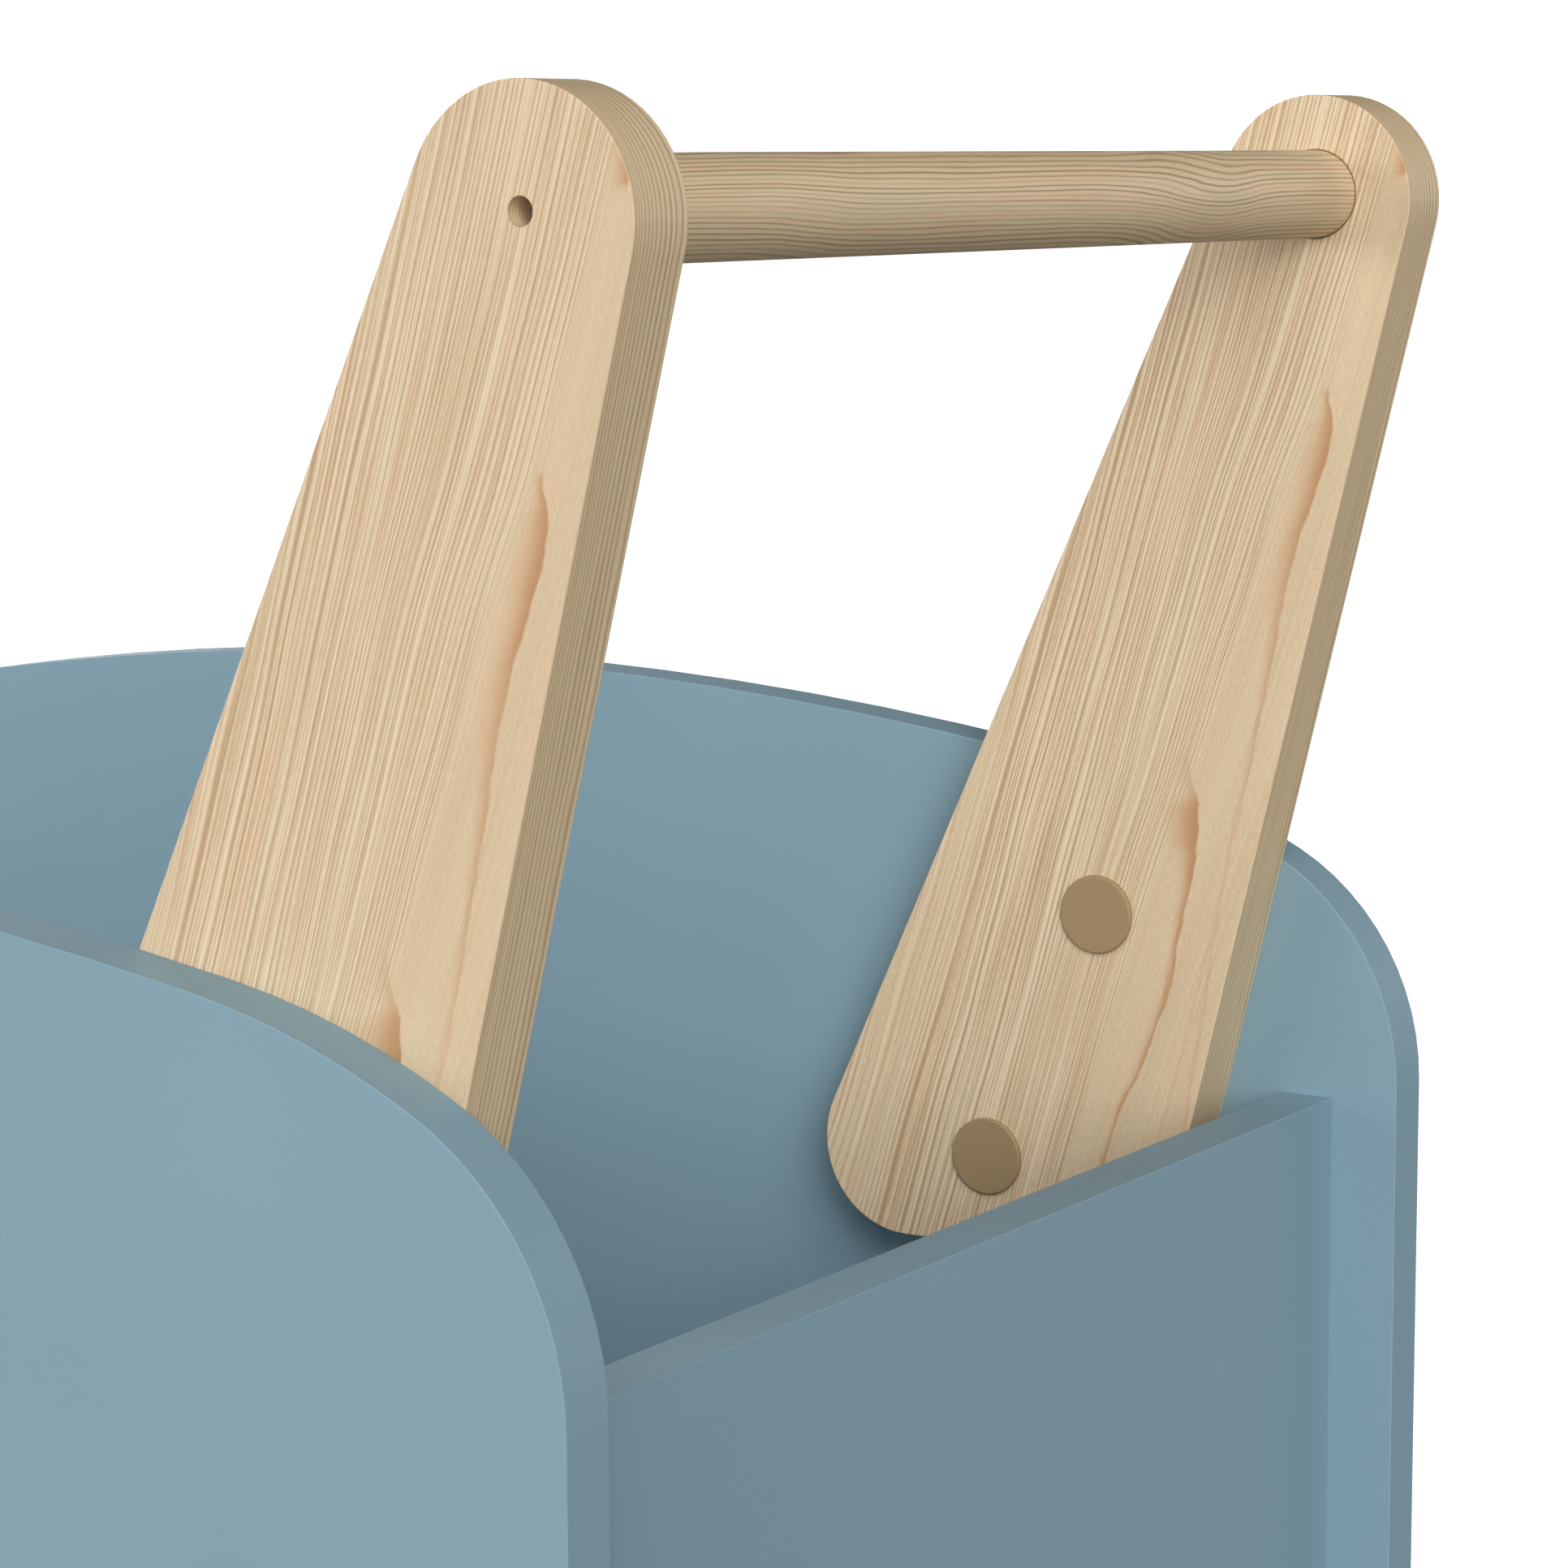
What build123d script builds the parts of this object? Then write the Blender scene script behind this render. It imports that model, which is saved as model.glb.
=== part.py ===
from build123d import *
import math
import os

# A rolling storage cart for a child's room, in millimetres.
# X runs along the cart towards the push handle, Y across it away from the front panel,
# and Z up from the floor. The origin is on the floor, under the middle of the whole cart.

# Boards and side panels
board_t = 16.0            # painted MDF
inner_width = 396.0       # clear width between the two side panels
panel_length = 658.0
crown_rise = 105.4        # from the end of a panel's straight side up to its crown
crown_r = 1320.0          # the long shallow arc over the middle
shoulder_r = 206.0
corner_r = 73.0
straight_side = 180.0     # plain upright stretch at each end of a panel
floor_gap = 24.0          # from the floor to the lowest point of the panels
end_inset = 20.0          # the end boards stand back from the panels' ends
end_top_drop = 4.7        # end boards stop this far below the end of the straight side
edge_break = 0.4          # softening of the sawn edges
end_room = 1.0            # room left past the end of each pin or screw in its hole
thread_room = 0.5         # the same, past the end of a thread
fit_gap = 0.05            # radial room round every fitted pin
lap = 1.0                 # how far joined features of one piece run into each other

# Uprights of the push handle, placed from the panel's handle end and the end board's top
upright_t = 20.0
top_r = 29.0
top_in = 20.3
top_up = 256.6
foot_r = 27.5
foot_down = 25.5
foot_left_in = 151.7
foot_right_in = 88.0
bar_in = 19.7
bar_up = 258.4
bar_r = 12.0
socket_depth = 6.0
socket_gap = 0.12
bar_bore_r = 3.25
bar_bore_depth = 11.0
bolt_places = ((86.4, 50.7), (122.8, -25.4))   # inward from the end, up from the board's top

# Bolts that hold the uprights, under plastic caps
cap_r = 11.5
cap_proud = 1.5
cap_rim_round = 0.6
cap_spigot_r = 9.2
cap_spigot_length = 3.6
cap_spigot_wall = 1.2
counterbore_r = 9.35
counterbore_depth = 8.0
bolt_head_r = 8.5
bolt_head_t = 2.6
bolt_r = 3.0
insert_r = 5.0
insert_length = 10.0
bolt_key = 4.0            # across the flats of its key hole
bolt_key_depth = 2.2

# Screws that hold the handle bar
screw_head_r = 3.1
screw_head_t = 3.0
screw_r = 2.0
screw_in_bar = 28.0
screw_key = 3.0
screw_key_depth = 2.0

# Cam fittings and wooden dowels that hold the boards
cam_r = 7.4
cam_pocket_r = 7.5
cam_depth = 12.4
cam_in = 24.0             # from the joint face to the middle of the cam
cam_seat_gap = 0.2         # the cam's faces, from the pocket's floor and mouth
cam_mouth_past = 2.0      # how far the cam's mouth runs past its middle
cam_cross_length = 8.0
cam_cross_width = 1.6
cam_cross_depth = 2.5
cam_collar_r = 3.4
cam_collar_length = 16.0
cam_neck_r = 1.8
cam_neck_length = 5.0
cam_bolt_head_r = 3.0
cam_bolt_head_length = 4.0
cam_bolt_hole_r = 3.5
cam_thread_r = 2.5
cam_thread_depth = 11.0
peg_r = 4.0
peg_length = 30.0
peg_in_panel = 10.0
peg_chamfer = 0.8
end_cam_heights = (36.0, 182.0)     # above the underside of the end board
end_peg_heights = (78.0, 140.0)
base_cam_offsets = (-110.0, 110.0)
base_peg_offsets = (-180.0, 0.0, 180.0)
end_peg_offsets = (-120.0, 0.0, 120.0)

# Swivel castors
castor_height = 80.0
castor_x = 230.0          # from the middle of the panels
castor_y = 136.0
castor_trail = 20.0
wheel_r = 30.0
tyre_width = 22.0
tyre_shoulder_r = 5.0
rim_r = 22.0
rim_wall = 3.5
rim_set_in = 1.0          # the rim's sides, in from the tyre's
hub_r = 9.0
hub_width = 25.4
web_t = 5.0
rib_count = 6
rib_t = 2.0
rib_set_in = 2.0          # the ribs' sides, in from the rim's
plate_side = 60.0
plate_t = 2.5
plate_corner_r = 6.0
plate_hole_spacing = 44.0
plate_hole_r = 2.4
race_disc_r = 22.0
race_disc_t = 1.0
race_r = 17.0
ball_r = 3.0
ball_count = 14
crown_disc_r = 23.0
sheet_t = 2.5
skirt_r = 24.2
skirt_t = 1.3
skirt_drop = 9.0
king_r = 4.0
king_head_r = 8.0
king_head_t = 2.4
king_gap = 0.2            # between the fork and the kingpin's head
leg_gap = 26.0
leg_boss_r = 9.0
leg_root_x = 12.0
leg_root_r = 3.0
web_height = 13.0
axle_r = 3.0
sleeve_r = 4.5
axle_end_length = 6.0     # of the bolt, past the second leg
axle_head_t = 4.0
nut_across = 10.0
nut_t = 5.0
running_gap = 0.06
castor_screw_r = 1.9
castor_screw_head_r = 4.2
castor_screw_head_t = 2.6
castor_screw_dome_r = 1.4
castor_cross_length = 4.2
castor_cross_width = 1.0
castor_cross_depth = 1.2
castor_screw_length = 13.0

# Places worked out from the sizes above
overhang = top_r - top_in
mid_x = -overhang / 2
handle_end_x = mid_x + panel_length / 2
half_inner = inner_width / 2
half_outer = half_inner + board_t
panel_height = 2 * crown_rise + straight_side
panel_mid_z = floor_gap + panel_height / 2
end_top_z = panel_mid_z + straight_side / 2 - end_top_drop
end_bottom_z = castor_height
base_z = castor_height + board_t / 2
half_base = panel_length / 2 - end_inset - board_t
bar_x = handle_end_x - bar_in
bar_z = end_top_z + bar_up
plate_bottom_z = castor_height - plate_t
ball_z = plate_bottom_z - race_disc_t - fit_gap - ball_r
crown_top_z = ball_z - ball_r - fit_gap
crown_bottom_z = crown_top_z - sheet_t


def rod(start, along, radius, length):
    """A cylinder that starts at a point and runs along a direction."""
    return Solid.make_cylinder(radius, length, Plane(origin=start, z_dir=along))


def step(point, along, distance):
    """The point reached from another by going a distance along a direction."""
    return tuple(p + a * distance for p, a in zip(point, along))


def tangent_angles():
    """Turns at which the crown, shoulder and corner arcs meet, from the crown's middle."""
    first = crown_r - shoulder_r
    second = shoulder_r - corner_r
    across = panel_length / 2 - corner_r
    down = crown_r - crown_rise
    reach = math.hypot(across, down)
    lean = math.atan2(across, down)
    at_first = math.acos((first**2 + reach**2 - second**2) / (2 * first * reach))
    at_second = math.acos((second**2 + reach**2 - first**2) / (2 * second * reach))
    return math.degrees(lean - at_first), math.degrees(lean + at_second)


def panel_outline():
    """A pebble: three tangent arcs in each quarter, with a straight stretch at each end."""
    turn_1, turn_2 = tangent_angles()
    crown = JernArc((0, panel_height / 2), (1, 0), crown_r, -turn_1)
    shoulder = JernArc(crown @ 1, crown % 1, shoulder_r, turn_1 - turn_2)
    corner = JernArc(shoulder @ 1, shoulder % 1, corner_r, turn_2 - 90)
    side = Line(corner @ 1, (panel_length / 2, 0))
    quarter = Curve() + [crown, shoulder, corner, side]
    half = quarter + mirror(quarter, Plane.YZ)
    whole = half + mirror(half, Plane.XZ)
    return make_face(whole.edges())


def upright_outline():
    """A tapered board: the skin stretched round one large top circle and two foot circles."""
    foot_z = end_top_z - foot_down
    circles = [
        CenterArc((handle_end_x - top_in, end_top_z + top_up), top_r, 0, 360),
        CenterArc((handle_end_x - foot_left_in, foot_z), foot_r, 0, 360),
        CenterArc((handle_end_x - foot_right_in, foot_z), foot_r, 0, 360),
    ]
    return make_hull([circle.edge() for circle in circles])


def board_from(outline, rear_y, thickness):
    """An outline drawn in X and Z, as a board whose rear face is at rear_y."""
    drawing_plane = Plane(origin=(0, rear_y, 0), x_dir=(1, 0, 0), z_dir=(0, -1, 0))
    board = extrude(drawing_plane * outline, thickness)
    return fillet(board.faces().filter_by(Axis.Y).edges(), edge_break)


def cam_bolt(face, into):
    """A cam bolt: thread in the panel, collar and shank in the board, then its head."""
    back = tuple(-a for a in into)
    neck = step(face, into, cam_collar_length)
    head = step(neck, into, cam_neck_length)
    solid = rod(face, back, cam_thread_r, cam_thread_depth - thread_room)
    solid += rod(face, into, cam_collar_r, cam_collar_length)
    solid += rod(neck, into, cam_neck_r, cam_neck_length)
    solid += rod(head, into, cam_bolt_head_r, cam_bolt_head_length)
    return solid


def cross_recess(mouth, inward, length, width, depth):
    """The cross-shaped recess that a screwdriver fits."""
    place = Plane(origin=mouth, z_dir=inward)
    return place * (Box(length, width, 2 * depth) + Box(width, length, 2 * depth))


def cam_lock(face, into, inward):
    """A round cam: its mouth takes the bolt's head, and its face has a cross recess."""
    middle = step(face, into, cam_in)
    mouth = step(middle, inward, board_t / 2)
    floor = step(mouth, inward, cam_seat_gap - cam_depth)
    solid = rod(floor, inward, cam_r, cam_depth - 2 * cam_seat_gap)
    hole_start = step(middle, into, -cam_pocket_r)
    solid -= rod(hole_start, into, cam_bolt_hole_r, cam_pocket_r + cam_mouth_past)
    top = step(mouth, inward, -cam_seat_gap)
    return solid - cross_recess(top, inward, cam_cross_length, cam_cross_width, cam_cross_depth)


def cam_holes_in_board(face, into, inward):
    """What a board loses for a cam fitting: the bolt's hole and the cam's pocket."""
    middle = step(face, into, cam_in)
    mouth = step(middle, inward, board_t / 2)
    pocket = rod(step(mouth, inward, -cam_depth), inward, cam_pocket_r, cam_depth)
    return pocket + rod(face, into, cam_bolt_hole_r, cam_in)


def cam_hole_in_panel(face, into):
    """What a panel loses for a cam bolt: a hole for its thread."""
    back = tuple(-a for a in into)
    return rod(face, back, cam_thread_r + fit_gap, cam_thread_depth)


def peg_hole(face, along, depth):
    """A hole for one end of a wooden dowel."""
    return rod(face, along, peg_r + fit_gap, depth)


def cam_joints():
    """Every cam joint, as its point on the joint face, the way into the board, and the
    way the cam's pocket opens. The end boards' open inwards, and the base's downwards."""
    joints = {"handle_end": [], "far_end": [], "base": []}
    for side in (-1, 1):
        face_y = side * half_inner
        for name, end in (("handle_end", 1), ("far_end", -1)):
            x = mid_x + end * (half_base + board_t / 2)
            for height in end_cam_heights:
                face = (x, face_y, end_bottom_z + height)
                joints[name].append((face, (0, -side, 0), (-end, 0, 0)))
        for offset in base_cam_offsets:
            joints["base"].append(((mid_x + offset, face_y, base_z), (0, -side, 0), (0, 0, -1)))
    return joints


def peg_joints():
    """Every wooden dowel, as its point on the joint face and the way into the board."""
    joints = {"handle_end": [], "far_end": [], "base": [], "base_ends": []}
    for side in (-1, 1):
        face_y = side * half_inner
        for name, end in (("handle_end", 1), ("far_end", -1)):
            x = mid_x + end * (half_base + board_t / 2)
            for height in end_peg_heights:
                joints[name].append(((x, face_y, end_bottom_z + height), (0, -side, 0)))
        for offset in base_peg_offsets:
            joints["base"].append(((mid_x + offset, face_y, base_z), (0, -side, 0)))
    for end in (-1, 1):
        for offset in end_peg_offsets:
            joints["base_ends"].append(((mid_x + end * half_base, offset, base_z), (-end, 0, 0)))
    return joints


def bolt_centres():
    """The upright bolts' places, as X and Z."""
    return [(handle_end_x - inward, end_top_z + up) for inward, up in bolt_places]


def side_panel(side):
    """A pebble-shaped side panel with its blind holes, in front for side -1."""
    rear_y = half_outer if side > 0 else -half_inner
    panel = Pos(mid_x, 0, panel_mid_z) * board_from(panel_outline(), rear_y, board_t)
    inner_y = side * half_inner
    holes = []
    for x, z in bolt_centres():
        holes.append(rod((x, inner_y, z), (0, side, 0), insert_r + fit_gap, insert_length + end_room))
    for joints in cam_joints().values():
        for face, into, _ in joints:
            if face[1] * side > 0:
                holes.append(cam_hole_in_panel(face, into))
    for name in ("handle_end", "far_end", "base"):
        for face, into in peg_joints()[name]:
            if face[1] * side > 0:
                holes.append(peg_hole(face, (0, side, 0), peg_in_panel + end_room))
    return panel - holes


def end_board(name, end):
    """An end board between the panels, with its top edges softened."""
    height = end_top_z - end_bottom_z
    x = mid_x + end * (half_base + board_t / 2)
    board = Pos(x, 0, end_bottom_z + height / 2) * Box(board_t, inner_width, height)
    board = fillet(board.edges().filter_by(Axis.Y), edge_break)
    holes = [cam_holes_in_board(*joint) for joint in cam_joints()[name]]
    for face, into in peg_joints()[name]:
        holes.append(peg_hole(face, into, peg_length - peg_in_panel + end_room))
    for face, into in peg_joints()["base_ends"]:
        if (face[0] - mid_x) * end > 0:
            holes.append(peg_hole(face, (end, 0, 0), peg_in_panel + end_room))
    return board - holes


def base_board():
    """The floor of the cart, with pilot holes for the castors' screws."""
    board = Pos(mid_x, 0, base_z) * Box(2 * half_base, inner_width, board_t)
    holes = [cam_holes_in_board(*joint) for joint in cam_joints()["base"]]
    for name in ("base", "base_ends"):
        for face, into in peg_joints()[name]:
            holes.append(peg_hole(face, into, peg_length - peg_in_panel + end_room))
    for x, y in castor_screw_places():
        depth = castor_screw_length - plate_t + end_room
        holes.append(rod((x, y, castor_height), (0, 0, 1), castor_screw_r + fit_gap, depth))
    return board - holes


def upright(side):
    """One upright, flat on its panel's inner face, bored for the bar and its bolts."""
    outer_y = side * half_inner
    inner_y = side * (half_inner - upright_t)
    rear_y = max(outer_y, inner_y)
    board = board_from(upright_outline(), rear_y, upright_t)
    outward = (0, side, 0)
    holes = [rod((bar_x, inner_y, bar_z), outward, bar_r + socket_gap, socket_depth)]
    holes.append(rod((bar_x, inner_y, bar_z), outward, screw_r + fit_gap, upright_t))
    holes.append(rod((bar_x, outer_y, bar_z), (0, -side, 0), bar_bore_r, bar_bore_depth))
    for x, z in bolt_centres():
        holes.append(rod((x, inner_y, z), outward, counterbore_r, counterbore_depth))
        holes.append(rod((x, inner_y, z), outward, bolt_r + fit_gap, upright_t))
    return board - holes


def handle_bar():
    """The round bar between the uprights, with pilot holes in its ends."""
    half = half_inner - upright_t + socket_depth - fit_gap
    bar = rod((bar_x, -half, bar_z), (0, 1, 0), bar_r, 2 * half)
    for side in (-1, 1):
        end = (bar_x, side * half, bar_z)
        bar -= rod(end, (0, -side, 0), screw_r + fit_gap, screw_in_bar + end_room)
    return bar


def handle_screws():
    """A screw at each end of the bar, sunk deep in the upright's bore."""
    solids = []
    for side in (-1, 1):
        seat = (bar_x, side * (half_inner - bar_bore_depth), bar_z)
        outward = (0, side, 0)
        inward = (0, -side, 0)
        wall = upright_t - bar_bore_depth - socket_depth
        screw = rod(seat, outward, screw_head_r, screw_head_t)
        screw += rod(seat, inward, screw_r, wall + screw_in_bar)
        top = step(seat, outward, screw_head_t)
        solids.append(screw - hex_recess(top, inward, screw_key, screw_key_depth))
    return solids


def hex_recess(mouth, inward, across, depth):
    """A six-sided key hole."""
    key = Plane(origin=mouth, z_dir=inward) * RegularPolygon(across / 2, 6, major_radius=False)
    return extrude(key, depth)


def upright_bolts():
    """The four bolts, with flat heads that sit in the counterbores."""
    solids = []
    for side in (-1, 1):
        for x, z in bolt_centres():
            seat = (x, side * (half_inner - upright_t + counterbore_depth), z)
            outward = (0, side, 0)
            inward = (0, -side, 0)
            reach = upright_t - counterbore_depth + insert_length - thread_room
            bolt = rod(seat, inward, bolt_head_r, bolt_head_t)
            bolt += rod(seat, outward, bolt_r, reach)
            top = step(seat, inward, bolt_head_t)
            solids.append(bolt - hex_recess(top, outward, bolt_key, bolt_key_depth))
    return solids


def threaded_inserts():
    """The four inserts in the panels that the upright bolts screw into."""
    solids = []
    for side in (-1, 1):
        for x, z in bolt_centres():
            mouth = (x, side * half_inner, z)
            sleeve = rod(mouth, (0, side, 0), insert_r, insert_length)
            solids.append(sleeve - rod(mouth, (0, side, 0), bolt_r + fit_gap, insert_length))
    return solids


def bolt_caps(side):
    """Two snap-in caps over the bolt heads of one upright."""
    solids = []
    for x, z in bolt_centres():
        face = (x, side * (half_inner - upright_t), z)
        inward = (0, -side, 0)
        outward = (0, side, 0)
        disc = rod(face, inward, cap_r, cap_proud)
        disc = fillet(disc.edges().sort_by(Axis.Y)[0 if side > 0 else -1], cap_rim_round)
        spigot = rod(face, outward, cap_spigot_r, cap_spigot_length)
        spigot -= rod(face, outward, cap_spigot_r - cap_spigot_wall, cap_spigot_length)
        solids.append(disc + spigot)
    return solids


def castor_places():
    """The four castors' names and the places of their swivel axes."""
    ends = (("handle", 1), ("far", -1))
    sides = (("front", -1), ("rear", 1))
    return [
        (f"{end}_{side}", mid_x + x_sign * castor_x, y_sign * castor_y)
        for end, x_sign in ends
        for side, y_sign in sides
    ]


def castor_screw_places():
    """Where the castors' screws go into the base."""
    half = plate_hole_spacing / 2
    corners = [(dx, dy) for dx in (-half, half) for dy in (-half, half)]
    return [(x + dx, y + dy) for _, x, y in castor_places() for dx, dy in corners]


def castor_plate():
    """The fixing plate with the pressed race above the balls and the skirt round them."""
    half = plate_hole_spacing / 2
    underside = (0, 0, plate_bottom_z)
    down = (0, 0, -1)
    sheet = extrude(RectangleRounded(plate_side, plate_side, plate_corner_r), plate_t)
    plate = Pos(*underside) * sheet
    plate += rod(underside, down, race_disc_r, race_disc_t)
    ring = rod(underside, down, skirt_r + skirt_t, skirt_drop)
    plate += ring - rod(underside, down, skirt_r, skirt_drop)
    plate -= rod((0, 0, castor_height), down, king_r + fit_gap, plate_t + race_disc_t)
    for dx in (-half, half):
        for dy in (-half, half):
            plate -= rod((dx, dy, castor_height), down, plate_hole_r, plate_t)
    return plate


def castor_balls():
    """The ring of balls that carries the fork."""
    places = PolarLocations(race_r, ball_count)
    return [Pos(0, 0, ball_z) * place * Sphere(ball_r) for place in places]


def castor_kingpin():
    """The rivet that holds the fork up to the plate."""
    head_top = crown_bottom_z - king_gap
    pin = rod((0, 0, castor_height), (0, 0, -1), king_r, castor_height - head_top)
    return pin + rod((0, 0, head_top), (0, 0, -1), king_head_r, king_head_t)


def castor_fork():
    """The pressed fork: a round crown, two tapering legs and a web across the front."""
    boss = CenterArc((castor_trail, wheel_r), leg_boss_r, 0, 360)
    top_z = crown_bottom_z + lap
    root_z = top_z - leg_root_r
    root_left = CenterArc((-leg_root_x, root_z), leg_root_r, 0, 360)
    root_right = CenterArc((leg_root_x, root_z), leg_root_r, 0, 360)
    shape = make_hull([curve.edge() for curve in (boss, root_left, root_right)])
    fork = rod((0, 0, crown_top_z), (0, 0, -1), crown_disc_r, sheet_t)
    for rear_y in (-leg_gap / 2, leg_gap / 2 + sheet_t):
        drawing_plane = Plane(origin=(0, rear_y, 0), x_dir=(1, 0, 0), z_dir=(0, -1, 0))
        fork += extrude(drawing_plane * shape, sheet_t)
    web_x = sheet_t / 2 - leg_root_x - leg_root_r
    fork += Pos(web_x, 0, top_z - web_height / 2) * Box(sheet_t, leg_gap + 2 * lap, web_height)
    fork -= rod((0, 0, crown_top_z), (0, 0, -1), king_r + running_gap, sheet_t)
    reach = leg_gap + 2 * sheet_t
    axle_start = (castor_trail, -reach / 2, wheel_r)
    return fork - rod(axle_start, (0, 1, 0), axle_r + fit_gap, reach)


def hex_block(start, along, thickness):
    """A six-sided bolt head or nut."""
    drawing_plane = Plane(origin=start, z_dir=along)
    return extrude(drawing_plane * RegularPolygon(nut_across / 2, 6, major_radius=False), thickness)


def castor_axle_bolt():
    """The bolt through both legs, with its head at the front."""
    start = (castor_trail, -leg_gap / 2 - sheet_t, wheel_r)
    shank = rod(start, (0, 1, 0), axle_r, leg_gap + 2 * sheet_t + axle_end_length)
    return shank + hex_block(start, (0, -1, 0), axle_head_t)


def castor_axle_nut():
    """The nut at the other end of the axle bolt."""
    start = (castor_trail, leg_gap / 2 + sheet_t, wheel_r)
    nut = hex_block(start, (0, 1, 0), nut_t)
    return nut - rod(start, (0, 1, 0), axle_r + fit_gap, nut_t)


def castor_sleeve():
    """The tube that the wheel turns on, clamped between the legs."""
    length = leg_gap - 2 * fit_gap
    start = (castor_trail, -length / 2, wheel_r)
    tube = rod(start, (0, 1, 0), sleeve_r, length)
    return tube - rod(start, (0, 1, 0), axle_r + fit_gap, length)


def castor_wheel():
    """The moulded wheel centre: hub, web, ribs and rim."""
    centre = (castor_trail, 0, wheel_r)
    across = (0, 1, 0)

    def disc(radius, width):
        return rod(step(centre, across, -width / 2), across, radius, width)

    rim_width = tyre_width - 2 * rim_set_in
    rib_width = rim_width - 2 * rib_set_in
    rib_middle = (hub_r + rim_r) / 2 - lap
    wheel = disc(rim_r, rim_width) - disc(rim_r - rim_wall, rim_width)
    wheel += disc(rim_r - lap, web_t)
    for turn in range(rib_count):
        rib = Pos(0, 0, rib_middle) * Box(rib_t, rib_width, rim_r - hub_r)
        wheel += Pos(*centre) * Rot(0, 360 / rib_count * turn, 0) * rib
    wheel += disc(hub_r, hub_width)
    return wheel - disc(sleeve_r + running_gap, hub_width)


def castor_tyre():
    """The soft tyre round the wheel centre, with rounded shoulders."""
    centre = (castor_trail, 0, wheel_r)
    across = (0, 1, 0)
    start = step(centre, across, -tyre_width / 2)
    tyre = rod(start, across, wheel_r, tyre_width)
    tyre = fillet(tyre.edges().filter_by(GeomType.CIRCLE), tyre_shoulder_r)
    return tyre - rod(start, across, rim_r + fit_gap, tyre_width)


def castor_screws():
    """The sixteen screws that hold the castors to the base."""
    solids = []
    up = (0, 0, 1)
    for x, y in castor_screw_places():
        seat = (x, y, plate_bottom_z)
        tip = (x, y, plate_bottom_z - castor_screw_head_t)
        head = rod(tip, up, castor_screw_head_r, castor_screw_head_t)
        head = fillet(head.edges().sort_by(Axis.Z)[0], castor_screw_dome_r)
        head -= cross_recess(tip, up, castor_cross_length, castor_cross_width, castor_cross_depth)
        solids.append(head + rod(seat, up, castor_screw_r, castor_screw_length))
    return solids


def wooden_pegs():
    """The dowels that line the boards up, with rounded ends."""
    solids = []
    for joints in peg_joints().values():
        for face, into in joints:
            start = step(face, into, -peg_in_panel)
            peg = rod(start, into, peg_r, peg_length)
            solids.append(chamfer(peg.edges().filter_by(GeomType.CIRCLE), peg_chamfer))
    return solids


def save(name, shapes):
    """Writes one piece, or one group of like pieces, under its name."""
    solids = shapes if isinstance(shapes, list) else [shapes]
    found = [solid for shape in solids for solid in shape.solids()]
    export_step(found[0] if len(found) == 1 else Compound(children=found), f"parts/{name}.step")


def main():
    os.makedirs("parts", exist_ok=True)
    save("front_side_panel", side_panel(-1))
    save("rear_side_panel", side_panel(1))
    save("handle_end_board", end_board("handle_end", 1))
    save("far_end_board", end_board("far_end", -1))
    save("base_board", base_board())
    save("front_upright", upright(-1))
    save("rear_upright", upright(1))
    save("handle_bar", handle_bar())
    save("handle_bar_screws", handle_screws())
    save("upright_bolts", upright_bolts())
    save("threaded_inserts", threaded_inserts())
    save("front_bolt_caps", bolt_caps(-1))
    save("rear_bolt_caps", bolt_caps(1))

    all_cams = [joint for joints in cam_joints().values() for joint in joints]
    save("cam_bolts", [cam_bolt(face, into) for face, into, _ in all_cams])
    save("cam_locks", [cam_lock(*joint) for joint in all_cams])
    save("wooden_pegs", wooden_pegs())
    save("castor_screws", castor_screws())

    castor_pieces = {
        "plate": castor_plate(),
        "balls": castor_balls(),
        "kingpin": castor_kingpin(),
        "fork": castor_fork(),
        "axle_bolt": castor_axle_bolt(),
        "axle_nut": castor_axle_nut(),
        "sleeve": castor_sleeve(),
        "wheel": castor_wheel(),
        "tyre": castor_tyre(),
    }
    for place, x, y in castor_places():
        for piece, shape in castor_pieces.items():
            shapes = shape if isinstance(shape, list) else [shape]
            save(f"{place}_castor_{piece}", [Pos(x, y, 0) * each for each in shapes])


main()
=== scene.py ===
import math
from types import SimpleNamespace

import bmesh
import bpy
from mathutils import Matrix, Vector


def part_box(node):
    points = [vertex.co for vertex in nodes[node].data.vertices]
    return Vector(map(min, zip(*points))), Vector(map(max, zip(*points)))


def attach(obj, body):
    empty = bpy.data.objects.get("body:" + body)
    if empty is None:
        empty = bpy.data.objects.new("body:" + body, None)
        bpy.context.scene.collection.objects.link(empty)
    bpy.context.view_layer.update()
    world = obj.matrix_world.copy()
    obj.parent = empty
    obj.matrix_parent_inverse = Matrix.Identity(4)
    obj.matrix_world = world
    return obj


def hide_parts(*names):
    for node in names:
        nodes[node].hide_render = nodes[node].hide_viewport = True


# Looks for the rolling storage cart. Everything is in metres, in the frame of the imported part:
# X runs to the push handle, Y away from the front panel, and Z up from the floor. The patterns
# of the materials are laid out in millimetres.

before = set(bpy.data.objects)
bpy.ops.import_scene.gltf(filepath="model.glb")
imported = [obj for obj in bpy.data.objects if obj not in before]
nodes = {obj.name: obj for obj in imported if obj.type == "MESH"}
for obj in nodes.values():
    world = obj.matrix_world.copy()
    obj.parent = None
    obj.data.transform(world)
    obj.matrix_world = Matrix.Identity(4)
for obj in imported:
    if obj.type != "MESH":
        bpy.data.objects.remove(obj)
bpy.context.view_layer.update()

MM = 0.001
WHITE = (1.0, 1.0, 1.0, 1.0)

# Places that the wood patterns are laid out from
upright_low, upright_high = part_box("front_upright")
rear_upright_low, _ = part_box("rear_upright")
bar_low, bar_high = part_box("handle_bar")
bar_middle = (bar_low + bar_high) / 2
upright_mm = (upright_high.y - upright_low.y) / MM


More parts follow.
